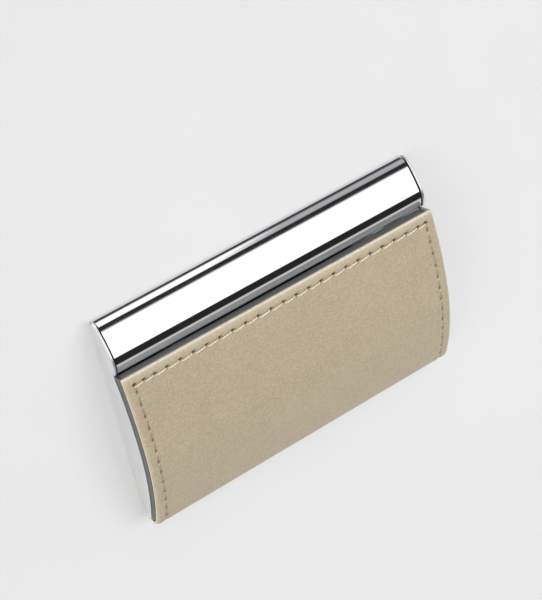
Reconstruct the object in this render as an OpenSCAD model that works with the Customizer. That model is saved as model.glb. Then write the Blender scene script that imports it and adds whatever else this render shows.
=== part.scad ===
// Business card case: a bright sheet-metal tray under a lid covered in stitched leather.
// The case lies on its back: X runs along it, -Y is the edge that opens, +Y is the leather
// hinge, and +Z goes up through the lid. The same skin of leather covers the lid, wraps round
// the fold as the hinge and ends as a strip glued in a step of the tray's back.

/* [Case] */
// Length over the two end plates
case_length = 95; // [85:0.5:110]
// Depth from the bright edge to the leather fold
case_depth = 63.2; // [60:0.1:70]
// Height at the crest of the lid
case_height = 12.9; // [12.5:0.1:14]
// Distance of the crest from the fold
crest_back = 28.6; // [24:0.1:32]

/* [Leather] */
// Thickness of the leather
leather = 1.0; // [0.8:0.1:1.2]
// Outer radius of the fold
fold_radius = 3.4; // [3.2:0.1:3.8]
// Height of the fold's centre; the hinge line is 0.5 mm lower
fold_height = 4.0; // [3.8:0.1:4.4]
// How far the strip on the back reaches in from the fold
strip_reach = 13.6; // [10:0.1:18]
// How far the strip stands out from the back panel
strip_proud = 0.3; // [0.1:0.1:0.5]

/* [Tray] */
// Thickness of the tray's sheet
sheet = 0.5; // [0.4:0.05:0.6]
// Thickness of each end plate
plate = 0.6; // [0.5:0.05:0.8]
// How far the end plates stand out round the front band
rim = 0.3; // [0.1:0.05:0.4]
// Height of the flat face on the opening edge, without its corners
edge_flat = 1.5; // [1:0.1:2.5]
// Radius of the long curve of the bright band
band_radius = 34; // [30:1:40]
// Radius of the roll where the band turns down towards the lid
roll_radius = 6.3; // [5.5:0.1:7]
// Height of the top of the roll
roll_crest = 8.3; // [8:0.1:8.6]
// Distance of the roll's centre from the bright edge
roll_back = 9.65; // [9.4:0.05:9.8]
// Height of the tray's crest, under the crest of the lid
tray_crest = 9.0; // [8.8:0.1:9.2]
// Depth of the ledge that the magnets close on
ledge_depth = 5.9; // [5:0.1:7]
// Height of the ledge
ledge_height = 6.4; // [6.2:0.1:6.5]

/* [Lid] */
// Distance of the lid's free edge from the bright edge
lid_setback = 12.8; // [12:0.1:14]
// Large radius of the lid's front half
lid_radius = 109; // [90:1:130]
// Thickness of the black board between leather and metal
board = 0.4; // [0.3:0.05:0.6]
// Width of the lip that meets the leather in front of the board
lip = 0.9; // [0.6:0.1:1.5]
// Thickness of the lid's sheet
lid_sheet = 0.4; // [0.3:0.05:0.5]
// Gap between the lid's metal and the tray's end plates
lid_gap = 0.35; // [0.25:0.05:0.5]

/* [Magnets] */
// Diameter of each closing magnet
magnet_d = 7; // [5:0.5:8]
// Thickness of each magnet
magnet_height = 2.4; // [1.5:0.1:2.6]
// Distance between the two magnets
magnet_spacing = 56; // [40:1:70]

/* [Stitching] */
// Distance of the seam from the leather's edges
seam_inset = 2.7; // [2:0.1:4]
// Distance from one stitch to the next
stitch_pitch = 3.7; // [3:0.1:5]
// Number of stitches down each end
side_stitches = 12; // [8:1:16]
// Width of the thread
thread = 0.6; // [0.4:0.05:0.8]

/* [Hidden] */
// An arc takes its next point after this turn in degrees, or this turn times its radius in mm.
arc_turn = 10;
arc_turn_radius = 50;
round_sides = 64;
clear = 0.05;
lid_end_room = 0.1;
tip_radius = 0.6;
tip_curl = 105;
corner_radius = 1.0;
step_bend = 0.3;
step_start = 1.02;
panel_bend = 0.8;
root_radius = 0.5;
hem_radius = 0.9;
hem_stop = 25;
tray_front_radius = 86;
plate_roll_stop = 58;
notch_room = 0.2;
thread_sunk = 0.6;
thread_proud = 0.2;
stitch_cover = 0.72;
edge_lean = 0.8;
room_margin = 0.3;
room_below = 1;
liner_margin = 0.45;
core_margin = 0.7;
core_setback = 4;
magnet_inset = 5;
seam_short_turn = 1;
striker = 0.6;
striker_margin = 0.6;
striker_overhang = 6;

edge_y = -case_depth / 2;
fold_y = case_depth / 2;
crest_y = fold_y - crest_back;
back_z = strip_proud;
fold_centre = [fold_y - fold_radius, fold_height];
body_length = case_length - 2 * plate;
lid_length = case_length - 2 * lid_end_room;

// Depths below the leather's outer face.
metal_face = leather + board;
metal_inner = metal_face + lid_sheet;

// The strip is a straight run that leaves the fold and lands level with the case's lowest plane.
strip_end = [fold_y - strip_reach, 0];
strip_normal = bearing(fold_centre, strip_end) + acos(fold_radius / norm(strip_end - fold_centre));
strip_length = sqrt(pow(norm(strip_end - fold_centre), 2) - pow(fold_radius, 2));
strip_run = strip_length * [sin(strip_normal), -cos(strip_normal)];

// The spine is the leather's free stretch between the lid's metal and the strip.
spine_top = 10;
spine_bottom = -70;
nose_turn = 6;

// The tip of the tray nests inside the leather fold.
nest_radius = fold_radius - leather - clear;
tip_turn = -30;
tip_centre = fold_centre + (nest_radius - tip_radius) * dir(tip_turn);

// The two halves of the lid's outer face and of the tray's top line.
lid_front_centre = [crest_y, case_height - lid_radius];
lid_back_radius = falling_radius([crest_y, case_height], fold_centre, fold_radius);
lid_back_centre = [crest_y, case_height - lid_back_radius];
lid_edge_turn = 90 + asin((crest_y - edge_y - lid_setback) / lid_radius);
fold_turn = bearing(lid_back_centre, fold_centre);
tray_back_radius = falling_radius([crest_y, tray_crest], tip_centre, tip_radius);
tray_back_centre = [crest_y, tray_crest - tray_back_radius];
tray_front_centre = [crest_y, tray_crest - tray_front_radius];

// The bright band: corner, long arc and roll.
corner = [edge_y + corner_radius, back_z + corner_radius + edge_flat];
roll = [edge_y + roll_back, roll_crest - roll_radius];
band_centre = bridging_centre(corner, corner_radius, roll, roll_radius, band_radius);

function dir(turn) = [cos(turn), sin(turn)];

function bearing(from, to) = atan2(to[1] - from[1], to[0] - from[0]);

// Direction from a centre to the point of its circle that has this y, on the upper side.
function turn_at(centre, radius, y) = acos((y - centre[0]) / radius);

// Radius of an arc that is level at the crest and touches a circle inside it.
function falling_radius(crest, centre, radius) =
  let (run = centre[0] - crest[0], fall = crest[1] - centre[1])
  (run * run + fall * fall - radius * radius) / (2 * (fall - radius));

// Centre of an arc of the given radius that touches two circles inside it, seen from a to b
// with the centre on the right.
function bridging_centre(a, radius_a, b, radius_b, radius) =
  let (
    span = norm(b - a),
    along = (b - a) / span,
    reach_a = radius - radius_a,
    reach_b = radius - radius_b,
    run = (reach_a * reach_a - reach_b * reach_b + span * span) / (2 * span),
    off = sqrt(reach_a * reach_a - run * run)
  )
  a + run * along + off * [along[1], -along[0]];

// Points of an arc, close enough together for its radius.
function arc(centre, radius, from, to) =
  let (
    turn = abs(to - from),
    steps = max(2, ceil(turn * radius / arc_turn_radius), ceil(turn / arc_turn))
  )
  [for (i = [0:steps]) centre + radius * dir(from + (to - from) * i / steps)];

function reversed(points) = [for (i = [len(points) - 1:-1:0]) points[i]];

// A bend is [centre, radius, from, to, side]: side 1 bends round the sheet's inner face,
// side -1 round its outer face. A face is the chain of bends at a depth below the outer face.
function face(bends, depth) =
  [for (b = bends) each arc(b[0], b[1] - b[4] * depth, b[2], b[3])];

function layer(bends, depth, thickness) =
  concat(face(bends, depth), reversed(face(bends, depth + thickness)));

// The lid's outer face from its free edge over the crest and round the fold.
function lid_bends(stop) = [
  [lid_front_centre, lid_radius, lid_edge_turn, 90, 1],
  [lid_back_centre, lid_back_radius, 90, fold_turn, 1],
  [fold_centre, fold_radius, fold_turn, stop, 1]
];

// The leaning free edge of the lid ends here, at the line that clears the cards.
lid_foot_y = edge_y + lid_setback + edge_lean;
lid_foot_turn = 90 + asin((crest_y - lid_foot_y) / (tray_front_radius + lid_gap));

// The tray's underside from its tip to the back panel, the same for sheet and end plates.
function underside_bends() = [
  [fold_centre, nest_radius, tip_turn, strip_normal, 1],
  [fold_centre + nest_radius * dir(strip_normal) + step_start * strip_run - [0, step_bend],
    step_bend, strip_normal + 180, strip_normal + 225, -1],
  [[strip_end[0] - 2 * panel_bend, back_z + panel_bend], panel_bend, -45, -90, 1]
];

// The bright edge and band, drawn in from the end plates' outline by inset.
function band_bends(inset, stop) = [
  [[corner[0], back_z + corner_radius - inset], corner_radius - inset, -90, -180, 1],
  [corner, corner_radius - inset, 180, bearing(band_centre, corner), 1],
  [band_centre, band_radius - inset, bearing(band_centre, corner), bearing(band_centre, roll), 1],
  [roll, roll_radius - inset, bearing(band_centre, roll), stop, 1]
];

// Centre of the bend where the roll turns out again into the ledge.
root_reach = roll_radius - rim + root_radius;
root_rise = ledge_height + root_radius - roll[1];
root = roll + [sqrt(pow(root_reach, 2) - pow(root_rise, 2)), root_rise];
root_turn = bearing(roll, root);

function tray_bends() = concat(
  [[tip_centre, tip_radius, tip_curl, tip_turn, 1]],
  underside_bends(),
  band_bends(rim, root_turn),
  [
    [root, root_radius, root_turn + 180, 270, -1],
    [root + [ledge_depth, -root_radius - hem_radius], hem_radius, 90, hem_stop, 1]
  ]
);

// The end plates drop from the roll in a notch for the lid and then follow the cards' line.
notch_y = edge_y + lid_setback + notch_room;
notch_turn = 90 + asin((crest_y - notch_y) / tray_front_radius);

function end_plate_outline() = concat(
  face([[tip_centre, tip_radius, bearing(tray_back_centre, tip_centre), tip_turn, 1]], 0),
  face(underside_bends(), 0),
  face(band_bends(0, plate_roll_stop), 0),
  arc(tray_front_centre, tray_front_radius, notch_turn, 90),
  arc(tray_back_centre, tray_back_radius, 90, bearing(tray_back_centre, tip_centre))
);

// A solid of the given (Y, Z) outline, centred along X.
module bar(outline, length) {
  translate([-length / 2, 0, 0])
    rotate([90, 0, 90])
      linear_extrude(length)
        polygon(outline);
}

// Both closing magnets stand square to the lid's front half.
module at_magnet(side, depth) {
  translate([side * magnet_spacing / 2, lid_front_centre[0], lid_front_centre[1]])
    rotate([magnet_turn, 0, 0])
      translate([0, 0, lid_radius - depth])
        children();
}

magnet_y = edge_y + lid_setback + magnet_inset;
magnet_turn = asin((crest_y - magnet_y) / lid_radius);
magnet_top = metal_inner + 3 * clear;

// Polished sheet: back panel, bright edge and band, and the ledge inside the opening.
module body_shell() {
  color([0.86, 0.87, 0.89])
    bar(layer(tray_bends(), 0, sheet), body_length - 2 * clear);
}

module end_plate(side) {
  color([0.76, 0.77, 0.79])
    translate([side * (case_length - plate) / 2, 0, 0])
      bar(end_plate_outline(), plate);
}

module left_end_plate() {
  end_plate(-1);
}

module right_end_plate() {
  end_plate(1);
}

// Steel bar under the ledge that the magnets pull on.
module striker_bar() {
  length = magnet_spacing + 2 * striker_overhang;
  underside = ledge_height - sheet - clear;
  color([0.6, 0.61, 0.63])
    translate([-length / 2, root[0] + striker_margin, underside - striker])
      cube([length, ledge_depth - 2 * striker_margin, striker]);
}

// Leather glued in the step of the tray's back.
module leather_strip() {
  bends = [[fold_centre, fold_radius, spine_bottom, strip_normal, 1]];
  outline = concat(
    face(bends, 0),
    [fold_centre + fold_radius * dir(strip_normal) + strip_run],
    [fold_centre + (fold_radius - leather) * dir(strip_normal) + strip_run],
    reversed(face(bends, leather))
  );
  color([0.72, 0.67, 0.55])
    bar(outline, lid_length);
}

// Free leather round the fold, which bends when the lid opens.
module leather_spine() {
  color([0.72, 0.67, 0.55])
    bar(layer([[fold_centre, fold_radius, spine_top, spine_bottom, 1]], 0, leather), lid_length);
}

// The pan's room ends here, short of the fold.
nose = [1.2, 0.3];
pan_end_y = fold_centre[0] - nose[0];

// The lip on the lid's free edge ends at this direction from the centre of the front half.
lip_turn = lid_edge_turn - lip / lid_radius * 180 / PI;

// Outline of the lid's metal pan, from the lip on its free edge round to its thin end inside
// the fold and back along the cards' line.
function pan_outline() = concat(
  arc(lid_front_centre, lid_radius - leather, lid_edge_turn, lip_turn),
  arc(lid_front_centre, lid_radius - metal_face, lip_turn, 90),
  face([for (i = [1:2]) lid_bends(nose_turn)[i]], metal_face),
  reversed(arc(tray_back_centre, tray_back_radius + lid_gap, 90,
    bearing(tray_back_centre, fold_centre + nose))),
  reversed(arc(tray_front_centre, tray_front_radius + lid_gap, lid_foot_turn, 90))
);

// The lid's skin seen from inside, between the free edge and a given y.
function under_skin(depth, edge_margin, stop_y) = concat(
  arc(lid_front_centre, lid_radius - depth, lid_edge_turn - edge_margin, 90),
  arc(lid_back_centre, lid_back_radius - depth, 90,
    turn_at(lid_back_centre, lid_back_radius - depth, stop_y))
);

// A line at a height above the pan's open side, between the free edge and a given y.
function over_cards(height, edge_margin, stop_y) =
  let (rise = lid_gap + height)
  concat(
    arc(tray_front_centre, tray_front_radius + rise, lid_foot_turn - edge_margin, 90),
    arc(tray_back_centre, tray_back_radius + rise, 90,
      turn_at(tray_back_centre, tray_back_radius + rise, stop_y))
  );

// The room inside the pan, open towards the cards.
function pan_room() = concat(
  under_skin(metal_inner, room_margin, pan_end_y),
  reversed(over_cards(-room_below, room_margin, pan_end_y))
);

// The lid's metal pan: skin, free edge and end flanges folded from one sheet.
module lid_shell() {
  color([0.62, 0.63, 0.65])
    difference() {
      bar(pan_outline(), lid_length);
      bar(pan_room(), lid_length - 2 * lid_sheet);
    }
}

// Two round holes that go right through whatever fills the pan.
module magnet_holes() {
  through = case_height / 2;
  for (side = [-1, 1])
    at_magnet(side, metal_inner + through)
      cylinder(d = magnet_d + 2 * clear, h = through, $fn = round_sides);
}

// Inner plate that closes the pan, with a hole for each magnet.
module lid_liner() {
  stop_y = pan_end_y - 4 * clear;
  lower = over_cards(0, liner_margin, stop_y);
  upper = over_cards(lid_sheet, liner_margin, stop_y);
  color([0.8, 0.81, 0.83])
    difference() {
      bar(concat(lower, reversed(upper)), lid_length - 2 * lid_sheet - 2 * clear);
      magnet_holes();
    }
}

// Board that fills the pan between its skin and its inner plate.
module lid_core() {
  stop_y = pan_end_y - core_setback;
  upper = under_skin(metal_inner + 2 * clear, liner_margin, stop_y);
  lower = over_cards(lid_sheet + 2 * clear, core_margin, stop_y);
  color([0.55, 0.5, 0.42])
    difference() {
      bar(concat(upper, reversed(lower)), lid_length - 2 * lid_sheet - 6 * clear);
      magnet_holes();
    }
}

module magnet(side) {
  color([0.7, 0.71, 0.74])
    at_magnet(side, magnet_top + magnet_height)
      cylinder(d = magnet_d, h = magnet_height, $fn = round_sides);
}

module left_magnet() {
  magnet(-1);
}

module right_magnet() {
  magnet(1);
}

// Black board glued between the pan and the leather, behind the pan's lip.
module lid_board() {
  bends = lid_bends(spine_top);
  behind_lip = [lid_front_centre, lid_radius, lip_turn - 2 * clear, 90, 1];
  color([0.07, 0.07, 0.07])
    bar(layer([behind_lip, bends[1], bends[2]], leather, board), lid_length);
}

// The seam runs along the free edge and down both ends, and stops short of the fold.
seam_edge_turn = lid_edge_turn - seam_inset / lid_radius * 180 / PI;
seam_end_turn = fold_turn + seam_short_turn;
seam_half = lid_length / 2 - seam_inset;

// Leather glued over the board. The thread passes through it.
module leather_cover() {
  color([0.74, 0.69, 0.57])
    bar(layer(lid_bends(spine_top), 0, leather), lid_length);
}

// The visible stitches along the free edge and down both ends of the lid, each running
// down into the leather at its two holes.
module lid_stitching() {
  across = round(2 * seam_half / stitch_pitch);
  pitch = 2 * seam_half / across;
  color([0.9, 0.86, 0.76]) {
    for (i = [0:across - 1])
      edge_stitch((i + 0.5) * pitch - seam_half, pitch * stitch_cover);
    for (side = [-1, 1])
      for (i = [0:side_stitches - 1])
        translate([side * seam_half, 0, 0])
          bar(side_stitch(i), thread);
  }
}

// One stitch of the row along the free edge, square to the leather.
module edge_stitch(x, length) {
  translate([x, lid_front_centre[0], lid_front_centre[1]])
    rotate([seam_edge_turn - 90, 0, 0])
      translate([-length / 2, -thread / 2, lid_radius - thread_sunk])
        cube([length, thread, thread_sunk + thread_proud]);
}

// Outline of one stitch of an end row. The rows share the lid's run in equal steps of Y.
function side_stitch(i) =
  let (
    start = crest_y + lid_radius * cos(seam_edge_turn) + thread,
    stop = crest_y + lid_back_radius * cos(seam_end_turn),
    step = (stop - start) / side_stitches,
    low = start + (i + 0.5 - stitch_cover / 2) * step,
    high = start + (i + 0.5 + stitch_cover / 2) * step
  )
  [
    on_lid(low, -thread_proud),
    on_lid(high, -thread_proud),
    on_lid(high, thread_sunk),
    on_lid(low, thread_sunk)
  ];

// The point at a depth below the lid's outer face, at the place where that face has this y.
function on_lid(y, depth) =
  let (
    front = y < crest_y,
    centre = front ? lid_front_centre : lid_back_centre,
    radius = front ? lid_radius : lid_back_radius
  )
  centre + (radius - depth) * dir(turn_at(centre, radius, y));

body_shell();
left_end_plate();
right_end_plate();
striker_bar();
leather_strip();
leather_spine();
lid_shell();
lid_liner();
lid_core();
left_magnet();
right_magnet();
lid_board();
leather_cover();
lid_stitching();
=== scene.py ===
"""Looks of the business card case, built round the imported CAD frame.

The case lies on its back: X along it, -Y the bright edge that opens, +Y the leather fold, +Z up.
Sections are drawn in the (Y, Z) plane in millimetres and swept along X.
"""

import math

import bmesh
import bpy
import numpy as np
from mathutils import Matrix, Vector, noise


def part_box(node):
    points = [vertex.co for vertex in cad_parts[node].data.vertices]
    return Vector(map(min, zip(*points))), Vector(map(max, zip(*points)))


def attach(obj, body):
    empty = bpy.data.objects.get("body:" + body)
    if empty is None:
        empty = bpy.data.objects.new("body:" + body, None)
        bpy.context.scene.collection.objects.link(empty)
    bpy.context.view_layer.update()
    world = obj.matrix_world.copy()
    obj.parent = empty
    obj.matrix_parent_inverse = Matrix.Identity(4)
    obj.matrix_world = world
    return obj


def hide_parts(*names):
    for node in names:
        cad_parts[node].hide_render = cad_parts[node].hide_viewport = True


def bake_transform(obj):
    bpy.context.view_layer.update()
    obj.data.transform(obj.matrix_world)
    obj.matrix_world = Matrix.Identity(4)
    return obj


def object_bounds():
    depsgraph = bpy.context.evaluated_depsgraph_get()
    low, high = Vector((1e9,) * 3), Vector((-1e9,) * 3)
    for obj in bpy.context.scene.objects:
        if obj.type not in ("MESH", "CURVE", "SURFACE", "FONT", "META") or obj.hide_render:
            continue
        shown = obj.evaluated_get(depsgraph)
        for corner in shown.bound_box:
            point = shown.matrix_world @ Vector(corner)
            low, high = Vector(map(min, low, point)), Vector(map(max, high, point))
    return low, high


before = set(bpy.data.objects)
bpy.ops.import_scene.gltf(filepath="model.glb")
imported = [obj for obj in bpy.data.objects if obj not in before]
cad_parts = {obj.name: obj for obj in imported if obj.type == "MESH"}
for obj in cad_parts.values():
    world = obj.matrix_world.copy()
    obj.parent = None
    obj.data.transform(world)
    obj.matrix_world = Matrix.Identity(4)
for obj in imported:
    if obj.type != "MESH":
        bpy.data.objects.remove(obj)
cad_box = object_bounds()

MM = 0.001

# ---------------------------------------------------------------- driving sizes, mm and degrees
CASE_LOW, CASE_HIGH = (np.array(corner) / MM for corner in cad_box)
EDGE_Y = CASE_LOW[1]
FOLD_Y = CASE_HIGH[1]
CASE_HALF = CASE_HIGH[0]
LID_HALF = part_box("leather_cover")[1].x / MM
CREST_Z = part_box("leather_cover")[1].z / MM
CREST_BACK = 28.6
CREST_Y = FOLD_Y - CREST_BACK

# Thicknesses and gaps
LEATHER = 1.0
BOARD = 0.4
LID_SHEET = 0.4
SHEET = 0.5
PLATE = 0.6
RIM = 0.3
CLEAR = 0.05
END_GAP = 0.4
LID_GAP = 0.35

# The fold and the strip of leather on the back
FOLD_RADIUS = 3.4
FOLD_HEIGHT = 4.0
FOLD_CENTRE = np.array([FOLD_Y - FOLD_RADIUS, FOLD_HEIGHT])
STRIP_REACH = 13.6
STRIP_PROUD = 0.3

# The tray, from the tip in the fold round to the hem of the ledge
TIP_RADIUS = 0.6
TIP_CURL = 105
TIP_TURN = -30.0
STEP_START = 1.02
STEP_BEND = 0.3
PANEL_BEND = 0.8
CORNER_RADIUS = 1.0
EDGE_FLAT = 1.5
BAND_RADIUS = 34.0
ROLL_RADIUS = 6.3
ROLL_CREST = 8.3
ROLL_BACK = 9.65
ROOT_RADIUS = 0.5
LEDGE_Z = 6.4
LEDGE_DEPTH = 5.9
HEM_RADIUS = 0.9
HEM_STOP = 25
TRAY_CREST = 9.0
TRAY_FRONT_RADIUS = 86.0
PLATE_ROLL_STOP = 58
NOTCH_ROOM = 0.2
TRAY_ROUND = 0.12
PLATE_ROUND = 0.16

# The lid
LID_RADIUS = 109.0
LID_SETBACK = 12.8
LIP = 0.9
EDGE_LEAN = 0.8
NOSE = np.array([1.2, 0.3])
NOSE_TURN = 6
BOARD_TURN = 10
ROOM_MARGIN = 0.3
ROOM_BELOW = 1
LINER_MARGIN = 0.45
PAN_ROUND = 0.12
END_FACING = 0.9

# The magnets
MAGNET_D = 7.0
MAGNET_HEIGHT = 2.4
MAGNET_SPACING = 56.0
MAGNET_INSET = 5
MAGNET_Y = EDGE_Y + LID_SETBACK + MAGNET_INSET
MAGNET_ROUND = 0.25


# ---------------------------------------------------------------- plane geometry
ARC_CHORD = 0.35
ARC_TURN = 6.0


def direction(turn):
    """Unit vector at an angle in degrees, measured from +Y towards +Z."""
    return np.array([math.cos(math.radians(turn)), math.sin(math.radians(turn))])


def bearing(start, end):
    """Angle in degrees of the line from start to end."""
    return math.degrees(math.atan2(end[1] - start[1], end[0] - start[0]))


def falling_radius(crest, centre, radius):
    """Radius of an arc that is level at the crest and touches a circle inside it."""
    run = centre[0] - crest[0]
    fall = crest[1] - centre[1]
    return (run * run + fall * fall - radius * radius) / (2 * (fall - radius))


def bridging_centre(a, radius_a, b, radius_b, radius):
    """Centre of an arc that touches two circles inside it, on the right seen from a to b."""
    span = np.linalg.norm(b - a)
    along = (b - a) / span
    reach_a = radius - radius_a
    reach_b = radius - radius_b
    run = (reach_a**2 - reach_b**2 + span**2) / (2 * span)
    off = math.sqrt(reach_a**2 - run**2)
    return a + run * along + off * np.array([along[1], -along[0]])


def arc(centre, radius, start, stop):
    """Points of an arc, no further apart than ARC_CHORD and ARC_TURN allow."""
    sweep = abs(stop - start)
    steps = max(2, math.ceil(math.radians(sweep) * radius / ARC_CHORD), math.ceil(sweep / ARC_TURN))
    return [centre + radius * direction(start + (stop - start) * i / steps) for i in range(steps + 1)]


def face(bends, depth):
    """The chain of bends (centre, radius, start, stop, side) at a depth under the outer face."""
    return [p for c, r, a, b, side in bends for p in arc(c, r - side * depth, a, b)]


def layer(bends, depth, thickness):
    """Closed outline of a sheet whose outer face lies at a depth under the chain of bends."""
    return face(bends, depth) + face(bends, depth + thickness)[::-1]


def turn_at(centre, radius, y):
    """Direction of the upper point of a circle that has this y."""
    return math.degrees(math.acos((y - centre[0]) / radius))


# ---------------------------------------------------------------- derived section of the case
BACK_Z = STRIP_PROUD
STRIP_END = np.array([FOLD_Y - STRIP_REACH, 0.0])
STRIP_DISTANCE = np.linalg.norm(STRIP_END - FOLD_CENTRE)
STRIP_NORMAL = bearing(FOLD_CENTRE, STRIP_END) + math.degrees(math.acos(FOLD_RADIUS / STRIP_DISTANCE))
STRIP_LENGTH = math.sqrt(STRIP_DISTANCE**2 - FOLD_RADIUS**2)
STRIP_RUN = STRIP_LENGTH * np.array([direction(STRIP_NORMAL)[1], -direction(STRIP_NORMAL)[0]])

NEST_RADIUS = FOLD_RADIUS - LEATHER - CLEAR
TIP_CENTRE = FOLD_CENTRE + (NEST_RADIUS - TIP_RADIUS) * direction(TIP_TURN)

LID_FRONT_CENTRE = np.array([CREST_Y, CREST_Z - LID_RADIUS])
LID_BACK_RADIUS = falling_radius((CREST_Y, CREST_Z), FOLD_CENTRE, FOLD_RADIUS)
LID_BACK_CENTRE = np.array([CREST_Y, CREST_Z - LID_BACK_RADIUS])
LID_EDGE_TURN = 90 + math.degrees(math.asin((CREST_Y - EDGE_Y - LID_SETBACK) / LID_RADIUS))
FOLD_TURN = bearing(LID_BACK_CENTRE, FOLD_CENTRE)

TRAY_BACK_RADIUS = falling_radius((CREST_Y, TRAY_CREST), TIP_CENTRE, TIP_RADIUS)
TRAY_BACK_CENTRE = np.array([CREST_Y, TRAY_CREST - TRAY_BACK_RADIUS])
TRAY_FRONT_CENTRE = np.array([CREST_Y, TRAY_CREST - TRAY_FRONT_RADIUS])

CORNER = np.array([EDGE_Y + CORNER_RADIUS, BACK_Z + CORNER_RADIUS + EDGE_FLAT])
ROLL = np.array([EDGE_Y + ROLL_BACK, ROLL_CREST - ROLL_RADIUS])
BAND_CENTRE = bridging_centre(CORNER, CORNER_RADIUS, ROLL, ROLL_RADIUS, BAND_RADIUS)
BAND_START = bearing(BAND_CENTRE, CORNER)
BAND_STOP = bearing(BAND_CENTRE, ROLL)


def lid_bends(stop):
    """The lid's outer face from its free edge over the crest and round the fold."""
    return [
        (LID_FRONT_CENTRE, LID_RADIUS, LID_EDGE_TURN, 90, 1),
        (LID_BACK_CENTRE, LID_BACK_RADIUS, 90, FOLD_TURN, 1),
        (FOLD_CENTRE, FOLD_RADIUS, FOLD_TURN, stop, 1),
    ]


def underside_bends():
    """The tray's underside from its tip past the strip's step to the back panel."""
    step = FOLD_CENTRE + NEST_RADIUS * direction(STRIP_NORMAL) + STEP_START * STRIP_RUN - (0, STEP_BEND)
    back = np.array([STRIP_END[0] - 2 * PANEL_BEND, BACK_Z + PANEL_BEND])
    return [
        (FOLD_CENTRE, NEST_RADIUS, TIP_TURN, STRIP_NORMAL, 1),
        (step, STEP_BEND, STRIP_NORMAL + 180, STRIP_NORMAL + 225, -1),
        (back, PANEL_BEND, -45, -90, 1),
    ]


def band_bends(inset, stop):
    """The bright edge and band, drawn in from the end plates' outline by inset."""
    low_corner = np.array([CORNER[0], BACK_Z + CORNER_RADIUS - inset])
    return [
        (low_corner, CORNER_RADIUS - inset, -90, -180, 1),
        (CORNER, CORNER_RADIUS - inset, 180, BAND_START, 1),
        (BAND_CENTRE, BAND_RADIUS - inset, BAND_START, BAND_STOP, 1),
        (ROLL, ROLL_RADIUS - inset, BAND_STOP, stop, 1),
    ]


def tray_bends():
    """The tray's sheet from the curl at its tip to the hem of its ledge."""
    reach = ROLL_RADIUS - RIM + ROOT_RADIUS
    rise = LEDGE_Z + ROOT_RADIUS - ROLL[1]
    root = ROLL + (math.sqrt(reach**2 - rise**2), rise)
    root_turn = bearing(ROLL, root)
    hem = root + (LEDGE_DEPTH, -ROOT_RADIUS - HEM_RADIUS)
    return [
        (TIP_CENTRE, TIP_RADIUS, TIP_CURL, TIP_TURN, 1),
        *underside_bends(),
        *band_bends(RIM, root_turn),
        (root, ROOT_RADIUS, root_turn + 180, 270, -1),
        (hem, HEM_RADIUS, 90, HEM_STOP, 1),
    ]


def end_plate_outline():
    """Closed outline of an end plate."""
    tip_top = bearing(TRAY_BACK_CENTRE, TIP_CENTRE)
    notch_y = EDGE_Y + LID_SETBACK + NOTCH_ROOM
    notch = 90 + math.degrees(math.asin((CREST_Y - notch_y) / TRAY_FRONT_RADIUS))
    return (
        face([(TIP_CENTRE, TIP_RADIUS, tip_top, TIP_TURN, 1)], 0)
        + face(underside_bends(), 0)
        + face(band_bends(0, PLATE_ROLL_STOP), 0)
        + arc(TRAY_FRONT_CENTRE, TRAY_FRONT_RADIUS, notch, 90)
        + arc(TRAY_BACK_CENTRE, TRAY_BACK_RADIUS, 90, tip_top)
    )


# ---------------------------------------------------------------- meshes
SMOOTH_TURN = 35.0
BEVEL_TURN = 50.0
SAME_PLACE = 1e-4


def make_object(name, vertices, faces, materials, smooth_turn=SMOOTH_TURN):
    """A mesh object from points in mm, smooth except over edges sharper than smooth_turn."""
    mesh = bpy.data.meshes.new(name)
    mesh.from_pydata([tuple(np.array(v) * MM) for v in vertices], [], faces)
    mesh.validate()
    mesh.update()
    obj = bpy.data.objects.new(name, mesh)
    bpy.context.scene.collection.objects.link(obj)
    for material in materials:
        mesh.materials.append(material)
    finish_normals(mesh, smooth_turn)
    return obj


def finish_normals(mesh, smooth_turn):
    """Turns every face outwards, then shades smooth up to a turn in degrees."""
    work = bmesh.new()
    work.from_mesh(mesh)
    bmesh.ops.recalc_face_normals(work, faces=work.faces)
    work.to_mesh(mesh)
    work.free()
    mesh.shade_smooth()
    mesh.set_sharp_from_angle(angle=math.radians(smooth_turn))


def without_repeats(outline):
    """The outline with points that fall on each other taken once."""
    kept = [outline[0]]
    for point in outline[1:]:
        if np.linalg.norm(np.array(point) - kept[-1]) > SAME_PLACE:
            kept.append(point)
    if np.linalg.norm(np.array(kept[0]) - kept[-1]) < SAME_PLACE:
        kept.pop()
    return kept


def tube_faces(rows, count, base=0):
    """Faces of a tube through rows of count points each, closed at both ends."""
    faces = []
    for row in range(rows - 1):
        here = base + row * count
        there = here + count
        for i in range(count):
            after = (i + 1) % count
            faces.append((here + i, here + after, there + after, there + i))
    faces.append(tuple(range(base, base + count))[::-1])
    faces.append(tuple(range(base + (rows - 1) * count, base + rows * count)))
    return faces


def bar(name, outline, x_low, x_high, material, rows=2):
    """A (Y, Z) outline swept along X in a number of rows."""
    outline = without_repeats(outline)
    vertices = [(x, p[0], p[1]) for x in np.linspace(x_low, x_high, rows) for p in outline]
    return make_object(name, vertices, tube_faces(rows, len(outline)), [material])


def add_bevel(obj, width):
    """Rounds the edges that turn by more than BEVEL_TURN."""
    bevel = obj.modifiers.new("rounded edges", "BEVEL")
    bevel.width = width * MM
    bevel.segments = 3
    bevel.limit_method = "ANGLE"
    bevel.angle_limit = math.radians(BEVEL_TURN)
    bevel.harden_normals = True
    bevel.use_clamp_overlap = True


# ---------------------------------------------------------------- materials
def new_material(name):
    """A material with its Principled shader, and a helper that adds nodes to it."""
    material = bpy.data.materials.new(name)
    material.use_nodes = True
    tree = material.node_tree
    shader = tree.nodes["Principled BSDF"]

    def add(kind, **values):
        node = tree.nodes.new(kind)
        for key, value in values.items():
            if hasattr(node, key):
                setattr(node, key, value)
            else:
                node.inputs[key].default_value = value
        return node

    return material, shader, add, tree.links.new


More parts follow.
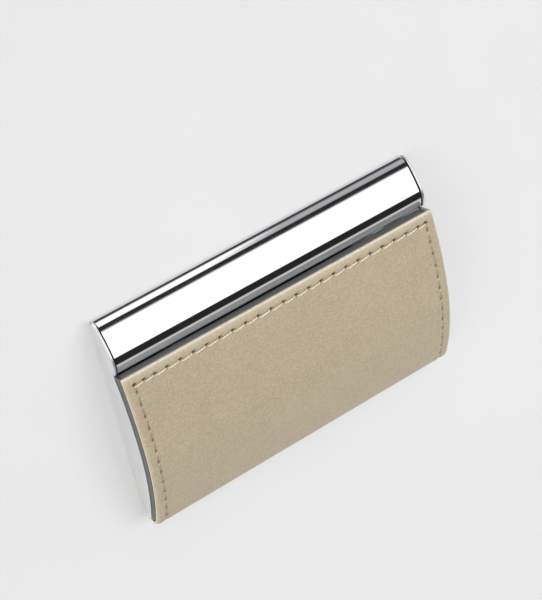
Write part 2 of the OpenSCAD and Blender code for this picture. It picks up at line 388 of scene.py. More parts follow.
def object_points(add, link, scale=(1, 1, 1)):
    """Object coordinates, stretched per axis."""
    coordinates = add("ShaderNodeTexCoord")
    mapping = add("ShaderNodeMapping")
    mapping.inputs["Scale"].default_value = scale
    link(coordinates.outputs["Object"], mapping.inputs["Vector"])
    return mapping.outputs["Vector"]


def colour_ramp(add, stops):
    """A colour ramp from (position, colour) stops."""
    ramp = add("ShaderNodeValToRGB")
    elements = ramp.color_ramp.elements
    while len(elements) < len(stops):
        elements.new(0.5)
    for element, (position, colour) in zip(elements, stops):
        element.position = position
        element.color = (*colour, 1)
    return ramp


def leather_material():
    """Khaki leather: fine pebble grain, soft tone changes, painted shade in the needle holes and the
    side seams' groove, and painted highlights along its borders.
    """
    material, shader, add, link = new_material("khaki_leather")
    points = object_points(add, link)
    clouds = add("ShaderNodeTexNoise", Scale=90.0, Detail=4.0, Roughness=0.6)
    link(points, clouds.inputs["Vector"])
    tone = colour_ramp(add, [(0.3, (0.405, 0.340, 0.230)), (0.72, (0.430, 0.365, 0.250))])
    link(clouds.outputs["Fac"], tone.inputs["Fac"])

    cells = add("ShaderNodeTexVoronoi", Scale=1500.0, Randomness=1.0)
    cells.feature = "SMOOTH_F1"
    cells.inputs["Smoothness"].default_value = 0.35
    link(points, cells.inputs["Vector"])
    fine = add("ShaderNodeTexNoise", Scale=2600.0, Detail=3.0, Roughness=0.55)
    link(points, fine.inputs["Vector"])
    grain = add("ShaderNodeMath", operation="MULTIPLY_ADD")
    link(fine.outputs["Fac"], grain.inputs[0])
    grain.inputs[1].default_value = 0.7
    link(cells.outputs["Distance"], grain.inputs[2])
    bump = add("ShaderNodeBump", Strength=1.0, Distance=0.00026)
    bump.invert = True
    link(grain.outputs["Value"], bump.inputs["Height"])
    link(bump.outputs["Normal"], shader.inputs["Normal"])

    pore = colour_ramp(add, [(0.45, (1.04, 1.04, 1.04)), (1.0, (0.70, 0.69, 0.66))])
    link(grain.outputs["Value"], pore.inputs["Fac"])
    grained = add("ShaderNodeMix", data_type="RGBA", blend_type="MULTIPLY")
    grained.inputs["Factor"].default_value = 0.45
    link(tone.outputs["Color"], grained.inputs[6])
    link(pore.outputs["Color"], grained.inputs[7])

    # Painted highlight where the free edge, the puffed leather behind it and the rounded borders catch
    # the light.
    edge_highlight = add("ShaderNodeAttribute", attribute_name="painted_edge_highlight")
    lit = add("ShaderNodeMix", data_type="RGBA")
    link(edge_highlight.outputs["Fac"], lit.inputs["Factor"])
    link(grained.outputs[2], lit.inputs[6])
    lit.inputs[7].default_value = (0.72, 0.66, 0.53, 1)

    # Painted shade in the needle holes, and a painted shadow along the groove that the side thread lies
    # in.
    hole = add("ShaderNodeAttribute", attribute_name="hole")
    hole_shade = add("ShaderNodeMix", data_type="RGBA")
    link(hole.outputs["Fac"], hole_shade.inputs["Factor"])
    link(lit.outputs[2], hole_shade.inputs[6])
    hole_shade.inputs[7].default_value = (0.024, 0.016, 0.008, 1)
    link(hole_shade.outputs[2], shader.inputs["Base Color"])

    shader.inputs["Roughness"].default_value = 0.52
    shader.inputs["Specular IOR Level"].default_value = 0.4
    shader.inputs["Sheen Weight"].default_value = 0.12
    shader.inputs["Sheen Roughness"].default_value = 0.5
    return material


def fibrous_material(
    name, scale, stops, roughness, detail=5.0, grain=0.7, stretch=(1, 1, 1), bump=None, sheen=0.0
):
    """Matt fibres in the colours of the stops, with an optional bump of (strength, depth in m)."""
    material, shader, add, link = new_material(name)
    fibres = add("ShaderNodeTexNoise", Scale=scale, Detail=detail, Roughness=grain)
    link(object_points(add, link, stretch), fibres.inputs["Vector"])
    tone = colour_ramp(add, stops)
    link(fibres.outputs["Fac"], tone.inputs["Fac"])
    link(tone.outputs["Color"], shader.inputs["Base Color"])
    if bump:
        strength, depth = bump
        relief = add("ShaderNodeBump", Strength=strength, Distance=depth)
        link(fibres.outputs["Fac"], relief.inputs["Height"])
        link(relief.outputs["Normal"], shader.inputs["Normal"])
    shader.inputs["Roughness"].default_value = roughness
    shader.inputs["Sheen Weight"].default_value = sheen
    return material


def polished_material(name, colour, roughness):
    """Mirror-polished metal with faint wiping marks."""
    material, shader, add, link = new_material(name)
    points = object_points(add, link, (0.25, 1, 1))
    marks = add("ShaderNodeTexNoise", Scale=700.0, Detail=6.0, Roughness=0.65)
    link(points, marks.inputs["Vector"])
    rough = add("ShaderNodeMapRange")
    rough.inputs["To Min"].default_value = roughness
    rough.inputs["To Max"].default_value = roughness + 0.05
    link(marks.outputs["Fac"], rough.inputs["Value"])
    link(rough.outputs["Result"], shader.inputs["Roughness"])
    tint = colour_ramp(add, [(0.25, tuple(0.97 * c for c in colour)), (0.75, colour)])
    link(marks.outputs["Fac"], tint.inputs["Fac"])
    link(tint.outputs["Color"], shader.inputs["Base Color"])
    shader.inputs["Metallic"].default_value = 1.0
    return material


def satin_material(name, colour, roughness):
    """Fine satin metal, brushed along the part's length in Y."""
    material, shader, add, link = new_material(name)
    points = object_points(add, link, (1, 0.04, 1))
    lines = add("ShaderNodeTexNoise", Scale=9000.0, Detail=3.0, Roughness=0.6)
    link(points, lines.inputs["Vector"])
    clouds = add("ShaderNodeTexNoise", Scale=120.0, Detail=3.0)
    link(object_points(add, link), clouds.inputs["Vector"])
    tone = colour_ramp(add, [(0.3, tuple(0.93 * c for c in colour)), (0.7, colour)])
    link(clouds.outputs["Fac"], tone.inputs["Fac"])
    link(tone.outputs["Color"], shader.inputs["Base Color"])
    rough = add("ShaderNodeMapRange")
    rough.inputs["To Min"].default_value = roughness - 0.05
    rough.inputs["To Max"].default_value = roughness + 0.08
    link(lines.outputs["Fac"], rough.inputs["Value"])
    link(rough.outputs["Result"], shader.inputs["Roughness"])
    bump = add("ShaderNodeBump", Strength=0.12, Distance=0.00001)
    link(lines.outputs["Fac"], bump.inputs["Height"])
    link(bump.outputs["Normal"], shader.inputs["Normal"])
    shader.inputs["Metallic"].default_value = 1.0
    return material


def board_material(name, dark, light):
    """Pressed board: speckled fibres, matt."""
    return fibrous_material(name, 2200.0, [(0.35, dark), (0.7, light)], 0.8, bump=(0.4, 0.00004))


CHROME = polished_material("polished_metal", (0.93, 0.935, 0.945), 0.03)
PAN_METAL = polished_material("pan_metal", (0.36, 0.36, 0.365), 0.34)
# A darker copy of the pan's metal for its end flanges: painted dark reflection.
SHADED_END_METAL = polished_material("pan_end_shaded_metal", (0.15, 0.15, 0.155), 0.34)
SATIN = satin_material("satin_metal", (0.92, 0.925, 0.935), 0.34)
STEEL = satin_material("plain_steel", (0.55, 0.56, 0.58), 0.42)
NICKEL = polished_material("magnet_plating", (0.72, 0.72, 0.74), 0.16)
LEATHER_SKIN = leather_material()
BLACK_BOARD = board_material("black_board", (0.012, 0.012, 0.013), (0.045, 0.043, 0.042))
GREY_BOARD = board_material("grey_board", (0.22, 0.19, 0.16), (0.36, 0.32, 0.27))
# The cut edge of the leather: lighter, fibrous and matt.
LEATHER_EDGE = fibrous_material(
    "leather_cut_edge",
    1400.0,
    [(0.3, (0.50, 0.42, 0.29)), (0.7, (0.74, 0.67, 0.52))],
    0.7,
    stretch=(1, 1, 4),
    bump=(0.5, 0.00008),
)
# The strip's end, darkened with painted shade.
STRIP_END_SHADE = fibrous_material(
    "strip_end_shade",
    1600.0,
    [(0.3, (0.030, 0.024, 0.018)), (0.75, (0.10, 0.085, 0.065))],
    0.75,
    detail=4.0,
)
# Cream twisted thread with a slight sheen.
THREAD = fibrous_material(
    "cream_thread",
    5000.0,
    [(0.3, (0.58, 0.51, 0.40)), (0.7, (0.82, 0.75, 0.62))],
    0.6,
    detail=3.0,
    grain=0.6,
    bump=(0.4, 0.00003),
    sheen=0.3,
)


# ---------------------------------------------------------------- the metal tray
def build_tray():
    """The polished sheet and the two satin end plates."""
    sheet_half = CASE_HALF - PLATE - END_GAP
    sheet = bar("tray_sheet", layer(tray_bends(), 0, SHEET), -sheet_half, sheet_half, CHROME, rows=9)
    add_bevel(sheet, TRAY_ROUND)
    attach(sheet, "tray")
    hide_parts("body_shell")
    outline = end_plate_outline()
    for side, name in ((-1, "left"), (1, "right")):
        inner = side * (CASE_HALF - PLATE)
        outer = side * CASE_HALF
        plate = bar(f"{name}_plate", outline, min(inner, outer), max(inner, outer), SATIN)
        add_bevel(plate, PLATE_ROUND)
        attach(plate, "tray")
        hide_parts(f"{name}_end_plate")


# ---------------------------------------------------------------- the lid's metal and boards
LID_FOOT_Y = EDGE_Y + LID_SETBACK + EDGE_LEAN
LID_FOOT_TURN = 90 + math.degrees(math.asin((CREST_Y - LID_FOOT_Y) / (TRAY_FRONT_RADIUS + LID_GAP)))
LIP_TURN = LID_EDGE_TURN - math.degrees(LIP / LID_RADIUS)
PAN_END_Y = FOLD_CENTRE[0] - NOSE[0]
METAL_FACE = LEATHER + BOARD
METAL_INNER = METAL_FACE + LID_SHEET


def over_cards(height, margin, stop_y):
    """A line at a height above the pan's open side, from the free edge to a given y."""
    rise = LID_GAP + height
    back = TRAY_BACK_RADIUS + rise
    return arc(TRAY_FRONT_CENTRE, TRAY_FRONT_RADIUS + rise, LID_FOOT_TURN - margin, 90) + arc(
        TRAY_BACK_CENTRE, back, 90, turn_at(TRAY_BACK_CENTRE, back, stop_y)
    )


def under_skin(depth, margin, stop_y):
    """The lid's skin seen from inside, from the free edge to a given y."""
    back = LID_BACK_RADIUS - depth
    return arc(LID_FRONT_CENTRE, LID_RADIUS - depth, LID_EDGE_TURN - margin, 90) + arc(
        LID_BACK_CENTRE, back, 90, turn_at(LID_BACK_CENTRE, back, stop_y)
    )


def build_pan():
    """The lid's metal pan: its skin, the free edge with its lip, and the end flanges."""
    lip = arc(LID_FRONT_CENTRE, LID_RADIUS - LEATHER, LID_EDGE_TURN, LIP_TURN)
    skin = face([(LID_FRONT_CENTRE, LID_RADIUS, LIP_TURN, 90, 1), *lid_bends(NOSE_TURN)[1:]], METAL_FACE)
    nose_turn = bearing(TRAY_BACK_CENTRE, FOLD_CENTRE + NOSE)
    open_side = arc(TRAY_FRONT_CENTRE, TRAY_FRONT_RADIUS + LID_GAP, LID_FOOT_TURN, 90) + arc(
        TRAY_BACK_CENTRE, TRAY_BACK_RADIUS + LID_GAP, 90, nose_turn
    )
    room = (
        under_skin(METAL_INNER, ROOM_MARGIN, PAN_END_Y)
        + over_cards(-ROOM_BELOW, ROOM_MARGIN, PAN_END_Y)[::-1]
    )
    pan = bar("lid_pan", lip + skin + open_side[::-1], -LID_HALF, LID_HALF, PAN_METAL)
    cut(pan, bar("pan_room", room, LID_SHEET - LID_HALF, LID_HALF - LID_SHEET, PAN_METAL))
    # The end flanges take a darker copy of the pan's metal: a painted dark reflection, as they are the
    # same sheet as the free edge.
    pan.data.materials.append(SHADED_END_METAL)
    for polygon in pan.data.polygons:
        if abs(polygon.normal.x) > END_FACING:
            polygon.material_index = 1
    add_bevel(pan, PAN_ROUND)
    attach(pan, "lid")
    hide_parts("lid_shell")


def build_liner():
    """The inner plate that closes the pan, with a hole for each magnet."""
    half = LID_HALF - LID_SHEET - CLEAR
    stop_y = PAN_END_Y - 4 * CLEAR
    outline = over_cards(0, LINER_MARGIN, stop_y) + over_cards(LID_SHEET, LINER_MARGIN, stop_y)[::-1]
    liner = bar("inner_plate", outline, -half, half, CHROME)
    through = CREST_Z / 2
    for side in (-1, 1):
        cut(liner, magnet_disc("hole", side, MAGNET_D / 2 + CLEAR, METAL_INNER, through, NICKEL))
    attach(liner, "lid")
    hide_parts("lid_liner")


def build_magnets():
    """The two round magnets that stand in the inner plate's holes."""
    top = METAL_INNER + 3 * CLEAR
    for side, name in ((-1, "left"), (1, "right")):
        magnet = magnet_disc(f"{name}_magnet_disc", side, MAGNET_D / 2, top, MAGNET_HEIGHT, NICKEL)
        add_bevel(magnet, MAGNET_ROUND)
        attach(magnet, "lid")
        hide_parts(f"{name}_magnet")


def build_backing():
    """The black board between the pan and the leather, behind the pan's lip."""
    behind_lip = (LID_FRONT_CENTRE, LID_RADIUS, LIP_TURN - CLEAR, 90, 1)
    outline = layer([behind_lip, *lid_bends(BOARD_TURN)[1:]], LEATHER, BOARD)
    board = bar("black_backing", outline, CLEAR - LID_HALF, LID_HALF - CLEAR, BLACK_BOARD)
    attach(board, "lid")
    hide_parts("lid_board")


def magnet_disc(name, side, radius, depth, height, material):
    """A disc square to the lid, from a depth under the leather's face downwards."""
    turn = 90 + math.degrees(math.asin((CREST_Y - MAGNET_Y) / LID_RADIUS))
    normal = direction(turn)
    centre = LID_FRONT_CENTRE + (LID_RADIUS - depth) * normal
    along = np.array([normal[1], -normal[0]])
    count = 64
    vertices = []
    for drop in (0, height):
        for i in range(count):
            a = 2 * math.pi * i / count
            yz = centre - drop * normal + radius * math.sin(a) * along
            vertices.append((side * MAGNET_SPACING / 2 + radius * math.cos(a), yz[0], yz[1]))
    return make_object(name, vertices, tube_faces(2, count), [material])


def cut(obj, cutter):
    """Takes the cutter's volume out of obj and removes the cutter."""
    boolean = obj.modifiers.new("cut", "BOOLEAN")
    boolean.operation = "DIFFERENCE"
    boolean.solver = "EXACT"
    boolean.object = cutter
    bpy.context.view_layer.update()
    shape = bpy.data.meshes.new_from_object(obj.evaluated_get(bpy.context.evaluated_depsgraph_get()))
    obj.modifiers.clear()
    obj.data = shape
    bpy.data.objects.remove(cutter)
    finish_normals(obj.data, SMOOTH_TURN)


# ---------------------------------------------------------------- the leather
LINE_STEP = 0.1
STRIP_STEPS = 40


class Line:
    """The leather's outer face as one line in the (Y, Z) plane, read by its length."""

    def __init__(self):
        points, normals = [], []
        for centre, radius, start, stop, _ in lid_bends(STRIP_NORMAL):
            steps = max(8, math.ceil(math.radians(abs(stop - start)) * radius / LINE_STEP))
            for i in range(steps + 1):
                turn = start + (stop - start) * i / steps
                points.append(centre + radius * direction(turn))
                normals.append(direction(turn))
        strip_start = points[-1]
        for i in range(1, STRIP_STEPS + 1):
            points.append(strip_start + STRIP_RUN * i / STRIP_STEPS)
            normals.append(direction(STRIP_NORMAL))
        self.points = np.array(points)
        self.normals = np.array(normals)
        steps = np.linalg.norm(np.diff(self.points, axis=0), axis=1)
        self.lengths = np.concatenate([[0], np.cumsum(steps)])
        self.total = self.lengths[-1]

    def at(self, s):
        """(point, normal) at a length from the lid's free edge."""
        point = np.array([np.interp(s, self.lengths, self.points[:, k]) for k in (0, 1)])
        normal = np.array([np.interp(s, self.lengths, self.normals[:, k]) for k in (0, 1)])
        return point, normal / np.linalg.norm(normal)


LINE = Line()

# The seam: one row along the free edge and one down each end, which stop short of the strip's end.
SEAM_INSET = 2.7
SEAM_STOP = 3.0
SEAM_HALF = LID_HALF - SEAM_INSET
SEAM_END = LINE.total - SEAM_STOP


def holes_along(start, stop, shares):
    """Needle holes from start to stop, their spacing in the given shares."""
    marks = np.concatenate([[0], np.cumsum(shares)])
    return start + (stop - start) * marks / marks[-1]


# The seam takes shorter stitches next to its corners.
HOLES_X = holes_along(-SEAM_HALF, SEAM_HALF, [0.62] + [1] * 20 + [0.94, 0.80, 0.70])
HOLES_S = holes_along(SEAM_INSET, SEAM_END, [0.52] + [1] * 17)

# A hole is an ellipse across and along its row. The edge row's holes lie a little outside the thread.
HOLE_WIDTH = 0.58
EDGE_HOLE = 1.25
SIDE_HOLE = 0.75
HOLE_SHIFT = 0.18
HOLE_CORE = 0.5

# Relief of the leather's face: the (height, reach) of what fades with the distance from its place.
EDGE_GROOVE = (0.22, 0.55)
SIDE_GROOVE = (0.12, 0.55)
EDGE_DIMPLE = (0.45, 0.5)
SIDE_DIMPLE = (0.30, 0.5)
PULL = (0.07, 0.9)
SWELL = (0.07, 0.8)
SWELL_PLACE = 1.3
PUCKER = (0.07, 1.9)
PUCKER_SCALE = 0.55
PUCKER_SLICE = 7.7
UNEVEN = 0.02
UNEVEN_SCALE = 0.11
UNEVEN_SLICE = 3.1
BORDER_DROOP = (0.12, 0.9)
EDGE_ROUND = 0.45

# Colour along the seam and the borders, in the same form: a painted shadow of the groove that the side
# thread lies in, painted highlights on the free edge, on the puffed leather behind it and on the rounded
# cut borders.
SIDE_GROOVE_SHADOW = (0.35, 0.24)
SIDE_HOLE_SHARE = 0.4
FREE_EDGE_HIGHLIGHT = (0.9, 0.22)
NEAR_EDGE_HIGHLIGHT = (0.2, 1.6)
BORDER_HIGHLIGHT = (0.3, 0.42)

# The grid that carries the relief: lines this far from each hole and, as shares of the rounding,
# from each border; closer lines are left out, and wider gaps are divided.
HOLE_LINES = (0.0, 0.12, 0.24, 0.4)
BORDER_LINES = (0, 0.04, 0.15, 0.35, 0.65, 1.0)
CLOSEST_LINES = 0.012
WIDEST_LINES = 0.42
LOWEST_LEATHER = 0.02


def grid_lines(holes, low, high):
    """Places of the grid's lines: close together at the holes and the borders, wider between."""
    fixed = [hole + side * off for hole in holes for off in HOLE_LINES for side in (-1, 1)]
    for border, sign in ((low, 1), (high, -1)):
        fixed += [border + sign * EDGE_ROUND * share for share in BORDER_LINES]
    fixed = sorted(mark for mark in fixed if low <= mark <= high)
    marks = [fixed[0]]
    for mark in fixed[1:]:
        gap = mark - marks[-1]
        if gap > CLOSEST_LINES:
            parts = math.ceil(gap / WIDEST_LINES)
            marks += [mark - gap * (parts - k) / parts for k in range(1, parts + 1)]
    return np.array(marks)


def fade(feature, distance):
    """What is left of a feature's height at a distance from its place."""
    height, reach = feature
    return height * math.exp(-((distance / reach) ** 2))


def nearest(holes, value):
    """The hole nearest to a value and the phase there: whole at a hole, half way between two."""
    index = int(np.clip(np.searchsorted(holes, value), 1, len(holes) - 1))
    low, high = holes[index - 1], holes[index]
    share = min(max((value - low) / (high - low), 0), 1)
    return (low if share < 0.5 else high), index - 1 + share


def leather_relief(x, s):
    """The leather's face at one place: height over its plain line, and its shares of painted shade and
    painted highlight.
    """
    out_x = abs(x) - SEAM_HALF
    from_row = abs(s - SEAM_INSET) if out_x <= 0 else math.hypot(s - SEAM_INSET, out_x)
    beyond = max(SEAM_INSET - s, s - SEAM_END, 0)
    from_side = math.hypot(out_x, beyond)
    distance = min(from_row, from_side)
    on_side = from_side < from_row
    if on_side:
        hole_s, phase = nearest(HOLES_S, s)
        across, along, length = x - math.copysign(SEAM_HALF, x), s - hole_s, SIDE_HOLE
    else:
        hole_x, phase = nearest(HOLES_X, x)
        across, along, length = s - SEAM_INSET + HOLE_SHIFT, x - hole_x, EDGE_HOLE
    hole_distance = math.hypot(across / HOLE_WIDTH, along / length)

    pull, pull_reach = PULL
    height = -fade(SIDE_GROOVE if on_side else EDGE_GROOVE, distance)
    height -= fade(SIDE_DIMPLE if on_side else EDGE_DIMPLE, hole_distance)
    height -= pull * math.cos(2 * math.pi * phase) * math.exp(-distance / pull_reach)
    height += fade(SWELL, distance - SWELL_PLACE)
    pucker = noise.noise(Vector((x * PUCKER_SCALE, s * PUCKER_SCALE, PUCKER_SLICE)))
    height += pucker * fade(PUCKER, distance)
    height += UNEVEN * noise.noise(Vector((x * UNEVEN_SCALE, s * UNEVEN_SCALE, UNEVEN_SLICE)))

    border = min(LID_HALF - abs(x), s, LINE.total - s)
    if border < EDGE_ROUND:
        inset = EDGE_ROUND - border
        height -= EDGE_ROUND - math.sqrt(max(EDGE_ROUND**2 - inset**2, 0))
    height -= fade(BORDER_DROOP, border)

    # Painted shade in the needle holes and, on the side rows, a painted shadow along the thread's
    # groove; painted highlight on the free edge, the leather behind it and the rounded borders.
    hole = math.exp(-((hole_distance / HOLE_CORE) ** 4))
    if on_side:
        hole = fade(SIDE_GROOVE_SHADOW, across) + SIDE_HOLE_SHARE * hole
    light = fade(FREE_EDGE_HIGHLIGHT, s) + fade(NEAR_EDGE_HIGHLIGHT, s) + fade(BORDER_HIGHLIGHT, border)
    return height, hole, min(light, 1)


def build_leather():
    """The one skin over the lid, round the fold and along the strip, as a closed slab."""
    xs = grid_lines(HOLES_X, -LID_HALF, LID_HALF)
    ss = grid_lines(HOLES_S, 0.0, LINE.total)
    nx, ns = len(xs), len(ss)
    vertices, holes, lights = [], [], []
    for s in ss:
        point, normal = LINE.at(s)
        for x in xs:
            height, hole, light = leather_relief(x, s)
            y, z = point + height * normal
            vertices.append((x, y, max(z, LOWEST_LEATHER)))
            holes.append(hole)
            lights.append(light)
    faces = [
        (j * nx + i, j * nx + i + 1, (j + 1) * nx + i + 1, (j + 1) * nx + i)
        for j in range(ns - 1)
        for i in range(nx - 1)
    ]
    skin_count = len(faces)

    # The flesh side needs only its two borders along the case and the full rows at both ends.
    flesh = {}
    for j, s in enumerate(ss):
        point, normal = LINE.at(s)
        y, z = point - LEATHER * normal
        row = range(nx) if j in (0, ns - 1) else (0, nx - 1)
        for i in row:
            flesh[i, j] = len(vertices)
            vertices.append((xs[i], y, z))
            holes.append(0.0)
            lights.append(0.0)
    for j in range(ns - 1):
        if j == 0:
            faces.append([flesh[i, 0] for i in range(nx)] + [flesh[nx - 1, 1], flesh[0, 1]])
        elif j == ns - 2:
            faces.append([flesh[0, j], flesh[nx - 1, j]] + [flesh[i, ns - 1] for i in range(nx)][::-1])
        else:
            faces.append([flesh[0, j], flesh[nx - 1, j], flesh[nx - 1, j + 1], flesh[0, j + 1]])
    for j in range(ns - 1):
        for i in (0, nx - 1):
            faces.append([j * nx + i, (j + 1) * nx + i, flesh[i, j + 1], flesh[i, j]])
    for i in range(nx - 1):
        faces.append([i, i + 1, flesh[i + 1, 0], flesh[i, 0]])
    # The strip's end faces take the painted shade.
    shaded_end_from = len(faces)
    last = (ns - 1) * nx
    for i in range(nx - 1):
        faces.append([last + i, last + i + 1, flesh[i + 1, ns - 1], flesh[i, ns - 1]])

    materials = [LEATHER_SKIN, LEATHER_EDGE, STRIP_END_SHADE]
    leather = make_object("leather", vertices, faces, materials, smooth_turn=50.0)
    slots = np.zeros(len(faces), np.int32)
    slots[skin_count:shaded_end_from] = 1
    slots[shaded_end_from:] = 2
    leather.data.polygons.foreach_set("material_index", slots)
    # Per point: painted shade in hole, painted highlight in the other.
    for name, values in (("hole", holes), ("painted_edge_highlight", lights)):
        attribute = leather.data.attributes.new(name, "FLOAT", "POINT")
        attribute.data.foreach_set("value", np.array(values, np.float32))
    bend_with_fold(leather)
    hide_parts("leather_cover", "leather_spine", "leather_strip")


def bend_with_fold(obj):
    """Bakes the piece's place into its mesh."""
    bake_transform(obj)


# ---------------------------------------------------------------- the stitching
STRAND_RADIUS = 0.13
TWIST_RADIUS = 0.10
TWIST_TURNS = 1.5
STRAND_RINGS = 13
STRAND_SIDES = 7
# A stitch takes this share of the way between its holes, and dips at both ends.
STITCH_START = 0.15
STITCH_SHARE = 0.79
STITCH_DIP = 0.42
THREAD_HEIGHT = 0.12
LOWEST_THREAD = 0.12
# How far a stitch leans across its row, and how deep the side rows lie in the leather; a stitch
# starts at a share of that depth.
EDGE_SLANT = 0.36
SIDE_SLANT = -0.2
SIDE_SUNK = 0.74
SUNK_START = 0.4
# A direction that no stitch runs along.
OFF_AXIS = (0.3, 0.1, 1.0)


def seam_point(x, s, height):
    """A point at a height over the leather's plain line."""
    point, normal = LINE.at(s)
    y, z = point + height * normal
    return np.array([x, y, max(z, LOWEST_THREAD)])


def stitch(start, end, slant, sunk):
    """Two twisted strands from hole to hole; start and end are (x, s) on the leather."""
    start, end = np.array(start), np.array(end)
    along = (end - start) / np.linalg.norm(end - start)
    across = np.array([-along[1], along[0]])
    middle = []
    for t in np.linspace(0, 1, STRAND_RINGS):
        place = start + (end - start) * (STITCH_START + STITCH_SHARE * t) + across * slant * t
        depth = sunk * (SUNK_START + (1 - SUNK_START) * t)
        height = THREAD_HEIGHT - STITCH_DIP * (2 * t - 1) ** 8 - depth
        middle.append((place, height, t))
    vertices, faces = [], []
    for strand in (0, 1):
        faces += tube_faces(STRAND_RINGS, STRAND_SIDES, len(vertices))
        path = []
        for place, height, t in middle:
            angle = 2 * math.pi * (TWIST_TURNS * t + strand / 2)
            x, s = place + across * TWIST_RADIUS * math.cos(angle)
            path.append(seam_point(x, s, height + TWIST_RADIUS * math.sin(angle)))
        path = np.array(path)
        for point, tangent in zip(path, np.gradient(path, axis=0)):
            tangent = tangent / np.linalg.norm(tangent)
            side = np.cross(tangent, OFF_AXIS)
            side /= np.linalg.norm(side)
            up = np.cross(side, tangent)
            for q in range(STRAND_SIDES):
                a = 2 * math.pi * q / STRAND_SIDES
                vertices.append(point + STRAND_RADIUS * (math.cos(a) * side + math.sin(a) * up))
    return vertices, faces


def build_stitching():
    """The thread of all three rows, as one piece."""
    vertices, faces = [], []

    def add(start, end, slant, sunk):
        points, tubes = stitch(start, end, slant, sunk)
        base = len(vertices)
        vertices.extend(points)
        faces.extend([base + i for i in tube] for tube in tubes)

    for low, high in zip(HOLES_X, HOLES_X[1:]):
        add((low, SEAM_INSET), (high, SEAM_INSET), EDGE_SLANT, 0)
    for x in (-SEAM_HALF, SEAM_HALF):
        for low, high in zip(HOLES_S, HOLES_S[1:]):
            add((x, low), (x, high), SIDE_SLANT, SIDE_SUNK)
    thread = make_object("stitching", vertices, faces, [THREAD], smooth_turn=80.0)
    bend_with_fold(thread)
    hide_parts("lid_stitching")


# ---------------------------------------------------------------- CAD nodes that stay
def dress_cad_nodes():
    """The hidden parts that keep their CAD shape."""
    for name, material in (("striker_bar", STEEL), ("lid_core", GREY_BOARD)):
        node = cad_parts[name]
        node.data.materials.clear()
        node.data.materials.append(material)


# ---------------------------------------------------------------- floor, camera and light
FLOOR_HALF = 900
FLOOR_DROP = 0.02
FLAG_REACH = 60
FLAG_OVERHANG = 20
FLAG_GAP = 0.05
# The flag's dark outline fades in between these distances from the bright edge, and its grey
# turns white between these places along the case.
FLAG_OUTLINE = (1.5, 0.9)
FLAG_TURN = (-10, 8)

# The camera's lens, its place in mm, and the directions to its right and behind it.
SENSOR_WIDTH = 36
FOCAL_LENGTH = 114.0
CAMERA_PLACE = (179.03, -286.37, 354.65)
CAMERA_RIGHT = (-0.81116, 0.18228, 0.55570)
CAMERA_BACK = (0.37332, -0.57003, 0.73191)

# The studio's brightness at an angle in degrees round the case's length, from the front over the top.
FRONT_TOP = 49
STUDIO_PANELS = [
    (-30, 0.4),
    (-4, 1.2),
    (48.4, 1.2),
    (FRONT_TOP, 0.02),
    (54.4, 0.02),
    (54.9, 1.25),
    (93, 1.25),
    (94.5, 0.02),
    (128, 0.02),
    (133, 0.55),
    (150, 0.7),
    (178, 0.65),
]
# Between these X parts of a direction the front panel loses this share of its light.
FRONT_SIDE = (-0.35, -0.39)
FRONT_LOSS = 0.68


def map_range(add, link, value, low, high, to_high=1.0):
    """A value mapped from low..high to 0..to_high, as a socket."""
    mapped = add("ShaderNodeMapRange")
    mapped.inputs["From Min"].default_value = low
    mapped.inputs["From Max"].default_value = high
    mapped.inputs["To Max"].default_value = to_high
    link(value, mapped.inputs["Value"])
    return mapped.outputs["Result"]


def flat_plane(name, low, high, material):
    """A level rectangle between two corners."""
    corners = [(low[0], low[1], 0), (high[0], low[1], 0), (high[0], high[1], 0), (low[0], high[1], 0)]
    return make_object(name, corners, [(0, 1, 2, 3)], [material])


def build_floor():
    """A white backdrop, lit evenly from behind so that the case's shadow on it stays faint."""
    material, shader, add, link = new_material("floor")
    clouds = add("ShaderNodeTexNoise", Scale=14.0, Detail=3.0)
    link(object_points(add, link), clouds.inputs["Vector"])
    tone = colour_ramp(add, [(0.3, (0.34, 0.34, 0.34)), (0.7, (0.36, 0.36, 0.36))])
    link(clouds.outputs["Fac"], tone.inputs["Fac"])
    link(tone.outputs["Color"], shader.inputs["Base Color"])
    shader.inputs["Emission Color"].default_value = (1, 1, 1, 1)
    shader.inputs["Emission Strength"].default_value = 0.37
    shader.inputs["Roughness"].default_value = 0.9
    floor = flat_plane("floor", (-FLOOR_HALF, -FLOOR_HALF), (FLOOR_HALF, FLOOR_HALF), material)
    floor.location.z = -FLOOR_DROP * MM


def build_flag():
    """A grey card under the opening edge, seen only in the polished metal, that outlines it."""
    material, shader, add, link = new_material("flag")
    axes = add("ShaderNodeSeparateXYZ")
    link(object_points(add, link), axes.inputs["Vector"])
    outer, inner = FLAG_OUTLINE
    near_edge = map_range(add, link, axes.outputs["Y"], (EDGE_Y - outer) * MM, (EDGE_Y - inner) * MM)
    along = map_range(add, link, axes.outputs["X"], FLAG_TURN[0] * MM, FLAG_TURN[1] * MM)
    tone = colour_ramp(add, [(0.0, (0.32, 0.32, 0.34)), (1.0, (0.95, 0.95, 0.95))])
    link(along, tone.inputs["Fac"])
    outlined = add("ShaderNodeMix", data_type="RGBA")
    link(near_edge, outlined.inputs["Factor"])
    link(tone.outputs["Color"], outlined.inputs[6])
    outlined.inputs[7].default_value = (0.03, 0.03, 0.035, 1)
    link(outlined.outputs[2], shader.inputs["Base Color"])
    shader.inputs["Roughness"].default_value = 1.0
    half = CASE_HALF + FLAG_OVERHANG
    flag = flat_plane("flag", (-half, EDGE_Y - FLAG_REACH), (half, EDGE_Y - FLAG_GAP), material)
    for ray in ("camera", "diffuse", "shadow", "transmission"):
        setattr(flag, f"visible_{ray}", False)


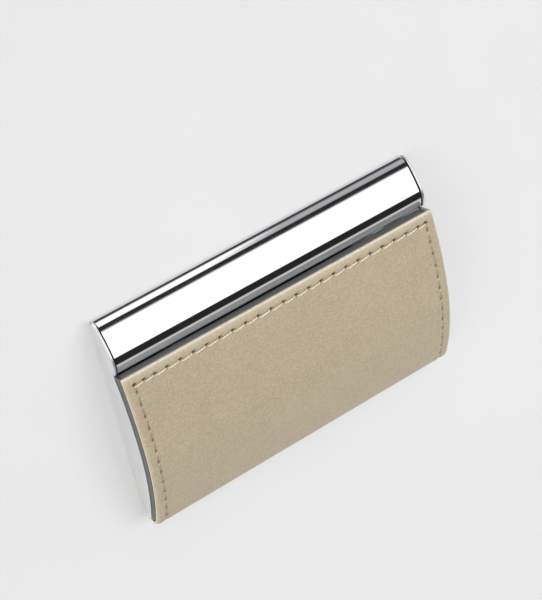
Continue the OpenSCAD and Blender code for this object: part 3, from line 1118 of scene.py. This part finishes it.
def build_camera():
    """The camera of the photograph: above the opening edge, to the right and strongly rolled."""
    data = bpy.data.cameras.new("camera")
    data.sensor_width = SENSOR_WIDTH
    data.lens = FOCAL_LENGTH
    camera = bpy.data.objects.new("camera", data)
    bpy.context.scene.collection.objects.link(camera)
    right = Vector(CAMERA_RIGHT)
    back = Vector(CAMERA_BACK)
    turned = Matrix((right, back.cross(right), back)).transposed()
    camera.matrix_world = Matrix.Translation(Vector(CAMERA_PLACE) * MM) @ turned.to_4x4()
    bpy.context.scene.camera = camera


def build_world():
    """A studio of long white panels with dark gaps, which the camera itself sees as plain pale grey."""
    world = bpy.data.worlds.new("studio")
    bpy.context.scene.world = world
    world.use_nodes = True
    tree = world.node_tree
    tree.nodes.clear()
    add, link = tree.nodes.new, tree.links.new

    def calculate(operation, *values):
        """The result of a maths node on sockets or numbers."""
        node = add("ShaderNodeMath")
        node.operation = operation
        for socket, value in zip(node.inputs, values):
            if isinstance(value, bpy.types.NodeSocket):
                link(value, socket)
            else:
                socket.default_value = value
        return node.outputs["Value"]

    coordinates = add("ShaderNodeTexCoord")
    axes = add("ShaderNodeSeparateXYZ")
    link(coordinates.outputs["Generated"], axes.inputs["Vector"])
    x, y, z = axes.outputs
    angle = calculate("ARCTAN2", z, calculate("MULTIPLY", y, -1))
    stops = [((turn + 180) / 360, (level, level, level * 1.01)) for turn, level in STUDIO_PANELS]
    panels = colour_ramp(add, stops)
    link(map_range(add, link, angle, -math.pi, math.pi), panels.inputs["Fac"])

    # The front panel stops short on one side: below its top edge the studio is dimmer past that side.
    below_top = calculate("LESS_THAN", angle, math.radians(FRONT_TOP))
    past_side = map_range(add, link, x, *FRONT_SIDE, FRONT_LOSS)
    strength = calculate("SUBTRACT", 1, calculate("MULTIPLY", below_top, past_side))

    studio = add("ShaderNodeBackground")
    link(panels.outputs["Color"], studio.inputs["Color"])
    link(strength, studio.inputs["Strength"])
    pale = add("ShaderNodeBackground")
    pale.inputs["Color"].default_value = (0.86, 0.86, 0.87, 1)
    rays = add("ShaderNodeLightPath")
    choose = add("ShaderNodeMixShader")
    link(rays.outputs["Is Camera Ray"], choose.inputs["Fac"])
    link(studio.outputs["Background"], choose.inputs[1])
    link(pale.outputs["Background"], choose.inputs[2])
    output = add("ShaderNodeOutputWorld")
    link(choose.outputs["Shader"], output.inputs["Surface"])


def area_light(name, place, size, power):
    """A soft square lamp aimed at the case, which doesn't show in its polished metal."""
    data = bpy.data.lights.new(name, "AREA")
    data.shape = "SQUARE"
    data.size = size
    data.energy = power
    lamp = bpy.data.objects.new(name, data)
    bpy.context.scene.collection.objects.link(lamp)
    lamp.location = place
    lamp.rotation_euler = (-Vector(place)).to_track_quat("-Z", "Y").to_euler()
    lamp.visible_glossy = False


def build_lights():
    """A key lamp over the far end and a larger fill beside the near end."""
    area_light("key", (-0.36, -0.02, 0.66), 0.6, 3.6)
    area_light("fill", (1.2, -0.2, 0.45), 1.0, 8.2)


build_tray()
build_pan()
build_liner()
build_magnets()
build_backing()
build_leather()
build_stitching()
dress_cad_nodes()
build_floor()
build_flag()
build_camera()
build_world()
build_lights()

view_settings = bpy.context.scene.view_settings
view_settings.view_transform = "Standard"
